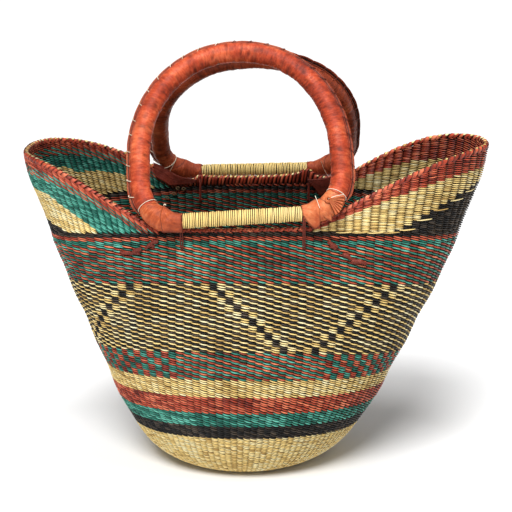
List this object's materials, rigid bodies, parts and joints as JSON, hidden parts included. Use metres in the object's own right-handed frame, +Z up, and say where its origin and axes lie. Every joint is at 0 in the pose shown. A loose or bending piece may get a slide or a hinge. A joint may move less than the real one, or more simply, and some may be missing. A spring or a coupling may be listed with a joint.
{
  "type": "woven grass basket",
  "caption": "Oval woven straw market basket with two raised ears, colour bands and two leather-covered ring handles that swing in tie straps.",
  "frame": {"origin": "middle of the bounding box at the flat base, where the basket stands", "axes": "+X along the long side of the oval opening, to the right seen from the front; -Y is the front; +Z is up"},
  "size_m": [0.4556, 0.231, 0.4229],
  "materials": {
    "natural_straw": "matte",
    "black_straw": "matte",
    "teal_straw": "satin",
    "red_straw": "satin",
    "red_leather": "gloss"
  },
  "bodies": {
    "root": {"base_disc": "natural_straw", "base_natural_band": "natural_straw", "low_black_band": "black_straw", "low_teal_band": "teal_straw", "low_red_band": "red_straw", "middle_natural_band": "natural_straw", "check_band": "teal_straw", "stripe_band": "natural_straw", "fine_red_teal_band": "red_straw", "teal_line": "teal_straw", "red_line": "red_straw", "black_line": "black_straw", "left_natural_wedge": "natural_straw", "left_teal_wedge": "teal_straw", "right_black_wedge": "black_straw", "right_natural_wedge": "natural_straw", "red_rim_rows": "red_straw", "rim_braid": "natural_straw", "front_left_tie_strap": "red_leather", "front_right_tie_strap": "red_leather", "rear_left_tie_strap": "red_leather", "rear_right_tie_strap": "red_leather"},
    "front_handle": {"front_handle_core": "natural_straw", "front_handle_sleeve": "red_leather", "front_handle_winding": "natural_straw", "front_handle_left_wrap": "red_leather", "front_handle_right_wrap": "red_leather"},
    "rear_handle": {"rear_handle_core": "natural_straw", "rear_handle_sleeve": "red_leather", "rear_handle_winding": "natural_straw", "rear_handle_left_wrap": "red_leather", "rear_handle_right_wrap": "red_leather"}
  },
  "joints": [
    {"name": "front_handle_swing", "type": "hinge", "parent": "root", "child": "front_handle", "pos_m": [-0.0122, -0.1074, 0.272], "axis": [0.998, 0, 0.0628], "range_deg": [0, 190]},
    {"name": "rear_handle_swing", "type": "hinge", "parent": "root", "child": "rear_handle", "pos_m": [-0.0016, 0.1074, 0.2718], "axis": [-0.9998, 0, -0.0209], "range_deg": [0, 190]}
  ]
}
